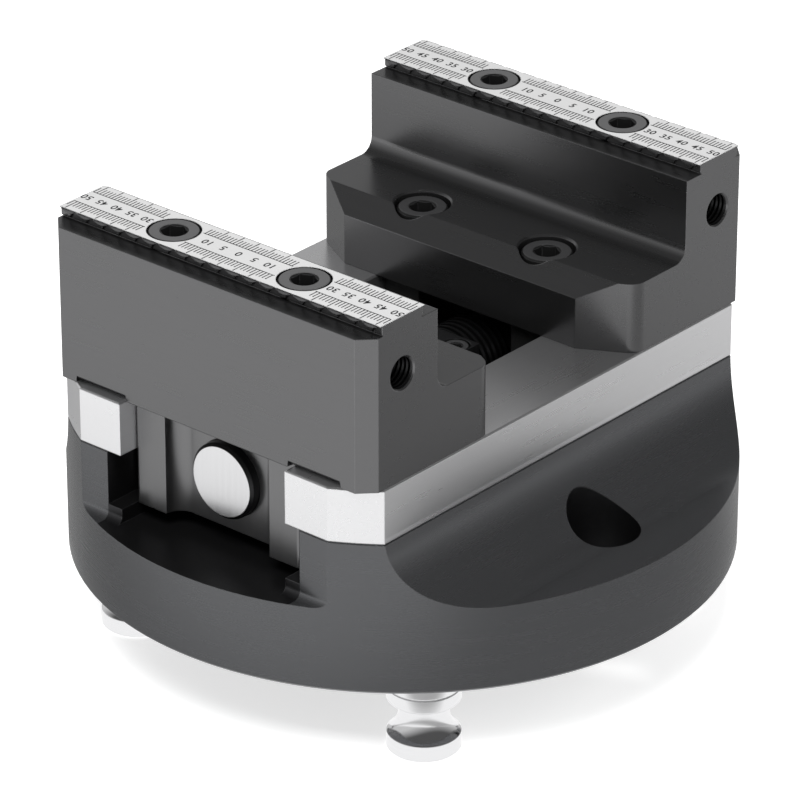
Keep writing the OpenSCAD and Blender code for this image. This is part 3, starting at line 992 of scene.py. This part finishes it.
@dataclass
class PullStud:
    """A pull stud turned from bar, with a rim, a hollow waist and a collar."""

    radius: float = 9.3 * MM
    waist_radius: float = 6.2 * MM
    foot_chamfer: float = 0.6 * MM
    rim_height: float = 4.7 * MM
    rim_edge: float = 0.15 * MM
    waist_low: float = 11.4 * MM
    waist_start: float = math.radians(22)
    waist_steps: int = 12
    waist_top: float = 13.6 * MM
    waist_corner: float = 0.3 * MM
    collar_chamfer: float = 0.4 * MM
    collar_edge: float = 0.3 * MM
    groove_low: float = 17.35 * MM
    groove_depth: float = 0.25 * MM
    groove_width: float = 0.3 * MM
    groove_flank: float = 0.05 * MM
    spigot_radius: float = 7.0 * MM
    spigot_height: float = 3.8 * MM
    thread_radius: float = 6.0 * MM
    thread_length: float = 14.0 * MM
    thread_chamfer: float = 1.0 * MM
    socket_flat: float = 8.0 * MM
    socket_depth: float = 7.0 * MM
    smooth_angle: float = math.radians(28)
    sides: int = 96

    def _waist(self) -> list[Span]:
        """Works out the hollow from the rim up to the narrowest part.

        Returns:
            Radius and height of each ring.
        """
        rise, fall = self.waist_low - self.rim_height, self.radius - self.rim_edge - self.waist_radius
        first, rings = self.waist_start, []
        for step in range(1, self.waist_steps + 1):
            angle = first + (math.pi / 2 - first) * step / self.waist_steps
            inward = (math.sin(angle) - math.sin(first)) / (1 - math.sin(first))
            upward = 1 - math.cos(angle) / math.cos(first)
            rings.append((self.waist_radius + fall * (1 - inward), self.rim_height + rise * upward))
        return rings

    def _profile(self) -> list[Span]:
        """Works out the whole stud from the foot up.

        Returns:
            Radius and height of each ring.
        """
        groove, groove_top = self.radius - self.groove_depth, self.groove_low + self.groove_width
        spigot_top = BASE_BOTTOM + self.spigot_height
        end = spigot_top + self.thread_length
        return [(self.radius - self.foot_chamfer, 0.0),
                (self.radius, self.foot_chamfer),
                (self.radius, self.rim_height - self.rim_edge),
                (self.radius - self.rim_edge, self.rim_height),
                *self._waist(),
                (self.waist_radius, self.waist_top - self.waist_corner),
                (self.waist_radius + self.waist_corner, self.waist_top),
                (self.radius - self.collar_chamfer, self.waist_top),
                (self.radius, self.waist_top + self.collar_chamfer),
                (self.radius, self.groove_low - self.groove_flank),
                (groove, self.groove_low),
                (groove, groove_top),
                (self.radius, groove_top + self.groove_flank),
                (self.radius, BASE_BOTTOM - self.collar_edge),
                (self.radius - self.collar_edge, BASE_BOTTOM),
                (self.spigot_radius, BASE_BOTTOM),
                (self.spigot_radius, spigot_top),
                (self.thread_radius, spigot_top),
                (self.thread_radius, end - self.thread_chamfer),
                (self.thread_radius - self.thread_chamfer, end)]

    def _turn(self) -> bpy.types.Object:
        """Turns the stud: a ring at the foot, extruded and resized from ring to ring.

        Returns:
            The stud, with a plain foot.
        """
        rings = self._profile()
        bpy.ops.object.select_all(action="DESELECT")
        bpy.ops.mesh.primitive_circle_add(vertices=self.sides, radius=rings[0][0], fill_type="NGON",
                                          location=(0, 0, rings[0][1]))
        stud = bpy.context.active_object
        bpy.ops.object.mode_set(mode="EDIT")
        bpy.ops.mesh.select_all(action="SELECT")
        for (radius, height), (wider, higher) in zip(rings, rings[1:]):
            bpy.ops.mesh.extrude_region_move(TRANSFORM_OT_translate={"value": (0, 0, higher - height)})
            bpy.ops.transform.resize(value=(wider / radius, wider / radius, 1.0))
        bpy.ops.mesh.select_all(action="SELECT")
        bpy.ops.mesh.normals_make_consistent(inside=False)
        bpy.ops.object.mode_set(mode="OBJECT")
        return stud

    def _socket(self, stud: bpy.types.Object) -> None:
        """Cuts the hexagon socket into the foot.

        Args:
            stud: The stud to cut.
        """
        bpy.ops.object.select_all(action="DESELECT")
        bpy.ops.mesh.primitive_cylinder_add(vertices=6, radius=self.socket_flat / math.sqrt(3),
                                            depth=2 * self.socket_depth, location=(0, 0, 0))
        cutter = bpy.context.active_object
        cut = stud.modifiers.new("Socket", "BOOLEAN")
        cut.operation = "DIFFERENCE"
        cut.solver = "EXACT"
        cut.object = cutter
        apply_all(stud)
        bpy.data.objects.remove(cutter)

    def build(self, nodes: tuple[str, ...], steel: bpy.types.Material) -> None:
        """Models one stud and copies it to the place of each CAD node.

        Args:
            nodes: The nodes that the studs stand for.
            steel: Their material.
        """
        model = self._turn()
        self._socket(model)
        bpy.ops.object.shade_smooth_by_angle(angle=self.smooth_angle)
        coat(model, steel)
        for node in nodes:
            low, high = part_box(node)
            stud = duplicate(model)
            stud.location = ((low[0] + high[0]) / 2, (low[1] + high[1]) / 2, 0.0)
            settle(stud, f"turned_{node}")
            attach(stud, "base")
            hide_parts(node)
            report(stud)
        bpy.data.objects.remove(model)


@dataclass
class BaseLooks:
    """The round base with its ground band, the bearing, the spindle and the pull studs."""

    band_height: float = 14.5 * MM
    slot_half: float = 31.6 * MM
    slot_floor: float = 33.15 * MM
    slot_top: float = 14.5 * MM
    hole_radius: float = 9.3 * MM
    hole_y: float = 65.0 * MM
    thread_radius: float = 10.2 * MM
    thread_pitch: float = 2.0 * MM
    plain_end: float = 2.5 * MM
    neck_half: float = 13.0 * MM
    end_depth: float = 0.05 * MM
    wear: float = 0.35
    spindle_wear: float = 0.5

    def _body(self) -> None:
        """Dresses the base body: dark, with ground rails, and with shade painted near-black into the slot and
        the two bores.
        """
        band = Zone((-OPEN, -OPEN, RAIL_TOP - self.band_height), (OPEN, OPEN, OPEN))
        slot = Zone((-OPEN, -self.slot_half, RAIL_TOP - self.slot_floor),
                    (OPEN, self.slot_half, RAIL_TOP - self.slot_top))
        holes = [RoundZone(Axis.Z, (0.0, side * self.hole_y, 0.0), self.hole_radius, -OPEN, OPEN)
                 for side in (-1, 1)]
        body = MetalMaterial("Base body", BODY_OXIDE, WEAR_AND_HIGHLIGHT, self.wear)
        # Painted shade: the slot and the bores take the near-black finish
        body.overlay(RAIL_STEEL, [band]).overlay(SLOT_AND_BORE_SHADE, [slot, *holes])
        dress(("base_body",), body.finish())

    def _spindle(self) -> None:
        """Dresses the spindle: black threads, ground ends."""
        low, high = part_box("spindle")
        centre = (0.0, 0.0, (low[2] + high[2]) / 2)
        ends = [Zone((-OPEN, -OPEN, -OPEN), (low[0] + self.end_depth, OPEN, OPEN)),
                Zone((high[0] - self.end_depth, -OPEN, -OPEN), (OPEN, OPEN, OPEN))]
        threads = [RoundZone(Axis.X, centre, self.thread_radius, low[0] + self.plain_end, -self.neck_half),
                   RoundZone(Axis.X, centre, self.thread_radius, self.neck_half, high[0] - self.plain_end)]
        spindle = MetalMaterial("Spindle steel", BLACK_OXIDE_AND_BORE_SHADE, FAINT_WEAR_AND_HIGHLIGHT, self.spindle_wear)
        spindle.overlay(END_STEEL, ends).thread(threads, self.thread_pitch)
        dress(("spindle",), spindle.finish())

    def build(self) -> None:
        """Dresses the base's nodes and turns its studs."""
        self._body()
        self._spindle()
        bearing = MetalMaterial("Bearing steel", BEARING_STEEL, FAINT_WEAR_AND_HIGHLIGHT).finish()
        dress(("bearing_block", "bearing_cap"), bearing)
        bright = MetalMaterial("Bright steel", BRIGHT_STEEL, SHINY_EDGE).finish()
        dress(("bearing_dowels", "near_jaw_key", "far_jaw_key"), bright)
        PullStud().build(("pull_stud_near_left", "pull_stud_near_right",
                          "pull_stud_far_left", "pull_stud_far_right"), bright)


@dataclass
class CarriageLooks:
    """The two carriages that run in the slot."""

    nodes: tuple[str, ...] = ("near_carriage", "far_carriage")
    wear: float = 0.4

    def build(self) -> None:
        """Dresses both carriages."""
        dress(self.nodes, MetalMaterial("Carriage oxide", CARRIAGE_OXIDE, WEAR_AND_HIGHLIGHT, self.wear).finish())


@dataclass
class BoltLooks:
    """Socket head screws: grey heads, with shade painted near-black into the sockets and onto the heads'
    sides.
    """

    name: str
    nodes: tuple[str, ...]
    head: MetalFinish
    rim: float = 0.12 * MM
    wear: float = 0.3

    def build(self) -> None:
        """Dresses the screws, whose heads are all at one height."""
        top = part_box(self.nodes[0])[1][2]
        # Painted shade: everything below the head's top face takes the near-black finish
        below = Zone((-OPEN, -OPEN, -OPEN), (OPEN, OPEN, top - self.rim))
        steel = MetalMaterial(self.name, self.head, FAINT_WEAR_AND_HIGHLIGHT, self.wear)
        dress(self.nodes, steel.overlay(SOCKET_SHADE, [below]).finish())


# Camera, light and background


@dataclass(frozen=True)
class Lamp:
    """A square soft lamp that lights the object and isn't mirrored in it."""

    name: str
    place: Triple
    size: float
    power: float
    target: Triple = (0.0, 0.0, 0.06)

    def build(self) -> None:
        """Adds the lamp."""
        data = bpy.data.lights.new(self.name, "AREA")
        data.shape = "SQUARE"
        data.size = self.size
        data.energy = self.power
        lamp = bpy.data.objects.new(self.name, data)
        bpy.context.scene.collection.objects.link(lamp)
        lamp.location = self.place
        lamp.visible_glossy = False
        lamp.rotation_euler = (Vector(self.target) - lamp.location).to_track_quat("-Z", "Y").to_euler()


@dataclass(frozen=True)
class Studio:
    """Camera, lamps, room and floor.

    Metal mirrors a room that is bright at the horizon and dark overhead, and a floor with a painted glow that
    only reflections see: bright on the near side, fainter on the far side, and white under the vise, where
    the floor lies in shade.
    """

    lens: float = 246.77
    sensor: float = 36.0
    clip_end: float = 50.0
    eye: Triple = (-0.9352, -0.8027, 0.6821)
    target: Triple = (-0.0004, 0.0005, 0.0608)
    shift: Span = (-0.0005, -0.00075)
    lamps: tuple[Lamp, ...] = (Lamp("Key", (-0.8, -0.4, 1.5), 0.8, 30.0),
                               Lamp("Fill", (0.2, -1.3, 0.9), 0.8, 6.0))
    sky_up: Triple = (0.0, -0.3, 1.0)
    sky_heights: Span = (0.02, 0.55)
    sky_lights: Span = (0.6, 0.085)
    room_light: float = 0.35
    floor_size: float = 12.0
    floor_drop: float = 0.02 * MM
    floor_colour: Triple = (0.9, 0.9, 0.9)
    floor_roughness: float = 0.9
    floor_whitening: float = 0.62
    card_side: Triple = (-1.0, -0.1, 0.0)
    card_reach: float = 0.30
    card_levels: tuple[Span, ...] = ((-0.22, 0.66), (-0.08, 0.42), (0.08, 0.42), (0.17, 1.0))
    under_vise: Span = (0.095, 0.115)

    def _camera(self) -> None:
        """Places the camera at the photograph's viewing angle."""
        data = bpy.data.cameras.new("Camera")
        data.lens = self.lens
        data.sensor_width = self.sensor
        data.clip_end = self.clip_end
        data.shift_x, data.shift_y = self.shift
        camera = bpy.data.objects.new("Camera", data)
        bpy.context.scene.collection.objects.link(camera)
        camera.location = self.eye
        camera.rotation_euler = (Vector(self.target) - Vector(self.eye)).to_track_quat("-Z", "Y").to_euler()
        bpy.context.scene.camera = camera

    def _world(self) -> None:
        """Builds the room: soft grey, dark overhead in reflections, and white where the camera sees it."""
        world = bpy.data.worlds.new("Studio")
        world.use_nodes = True
        sheet = NodeSheet(world.node_tree)
        sheet.tree.nodes.clear()
        path = sheet.node("ShaderNodeLightPath").outputs
        direction = sheet.node("ShaderNodeTexCoord").outputs["Generated"]
        height = sheet.vector_maths("DOT_PRODUCT", direction, self.sky_up).outputs["Value"]
        mirrored = sheet.spread(height, self.sky_heights, self.sky_lights)
        room, white = sheet.node("ShaderNodeBackground"), sheet.node("ShaderNodeBackground")
        sheet.put(sheet.mix(path["Is Glossy Ray"], self.room_light, mirrored), room.inputs["Strength"])
        mix = sheet.node("ShaderNodeMixShader")
        sheet.put(sheet.maths("MAXIMUM", path["Is Camera Ray"], path["Is Transmission Ray"]), mix.inputs[0])
        for slot, background in ((1, room), (2, white)):
            background.inputs["Color"].default_value = (1.0, 1.0, 1.0, 1.0)
            sheet.put(background.outputs[0], mix.inputs[slot])
        sheet.put(mix.outputs[0], sheet.node("ShaderNodeOutputWorld").inputs["Surface"])
        bpy.context.scene.world = world

    def _card(self, sheet: NodeSheet) -> Socket:
        """Builds the painted glow of the floor, which only the metal's reflections see.

        Args:
            sheet: The floor material's nodes.

        Returns:
            The brightness: the glow's levels, and white under the vise, where the floor lies in shade.
        """
        where = sheet.node("ShaderNodeTexCoord").outputs["Object"]
        side = sheet.vector_maths("DOT_PRODUCT", where, self.card_side).outputs["Value"]
        ramp = sheet.node("ShaderNodeValToRGB")
        ramp.color_ramp.interpolation = "EASE"
        stops = ramp.color_ramp.elements
        for number, (place, level) in enumerate(self.card_levels):
            spot = 0.5 + place / (2 * self.card_reach)
            stop = stops[number] if number < 2 else stops.new(spot)
            stop.position = spot
            stop.color = (level, level, level, 1.0)
        sheet.put(sheet.spread(side, (-self.card_reach, self.card_reach)), ramp.inputs[0])
        distance = sheet.vector_maths("LENGTH", where).outputs["Value"]
        under = sheet.spread(distance, self.under_vise, (1.0, 0.0))
        return sheet.maths("MAXIMUM", ramp.outputs["Color"], under)

    def _floor(self) -> None:
        """Adds a white floor just below the pull studs, which the camera sees as nearly pure white and
        reflections see as a painted glow.
        """
        bpy.ops.object.select_all(action="DESELECT")
        bpy.ops.mesh.primitive_plane_add(size=self.floor_size, location=(0, 0, -self.floor_drop))
        floor = bpy.context.active_object
        floor.name = "Floor"
        material = bpy.data.materials.new("Floor")
        material.use_nodes = True
        sheet = NodeSheet(material.node_tree)
        shader = sheet.tree.nodes["Principled BSDF"]
        shader.inputs["Base Color"].default_value = (*self.floor_colour, 1.0)
        shader.inputs["Roughness"].default_value = self.floor_roughness
        shader.inputs["Specular IOR Level"].default_value = 0.0
        path = sheet.node("ShaderNodeLightPath").outputs
        glow, mirrored = sheet.node("ShaderNodeEmission"), sheet.node("ShaderNodeEmission")
        whitening = sheet.maths("MULTIPLY", path["Is Camera Ray"], self.floor_whitening)
        sheet.put(whitening, glow.inputs["Strength"])
        # Painted glow: the floor glows for reflections only, white under the vise where it lies in shade
        sheet.put(self._card(sheet), mirrored.inputs["Strength"])
        both, seen = sheet.node("ShaderNodeAddShader"), sheet.node("ShaderNodeMixShader")
        sheet.put(shader.outputs[0], both.inputs[0])
        sheet.put(glow.outputs[0], both.inputs[1])
        sheet.put(path["Is Glossy Ray"], seen.inputs[0])
        sheet.put(both.outputs[0], seen.inputs[1])
        sheet.put(mirrored.outputs[0], seen.inputs[2])
        sheet.put(seen.outputs[0], sheet.tree.nodes["Material Output"].inputs["Surface"])
        floor.data.materials.append(material)

    def build(self) -> None:
        """Builds the whole studio."""
        self._camera()
        self._world()
        self._floor()
        for lamp in self.lamps:
            lamp.build()
        bpy.context.scene.view_settings.view_transform = "Standard"


def main() -> None:
    """Dresses the whole vise."""
    logging.basicConfig(level=logging.INFO, format="%(name)s: %(message)s")
    Studio().build()
    BaseLooks().build()
    CarriageLooks().build()
    BoltLooks("Wall bolt steel", ("near_wall_bolts", "far_wall_bolts"), HEAD_OXIDE).build()
    BoltLooks("Step bolt steel", ("near_step_bolts", "far_step_bolts"), STEP_HEAD_OXIDE).build()
    BoltLooks("Cap screw steel", ("bearing_cap_screws",), STEP_HEAD_OXIDE).build()
    BoltLooks("Base screw steel", ("bearing_base_screws",), STEP_HEAD_OXIDE).build()
    Jaws().build()


if __name__ == "__main__":
    main()
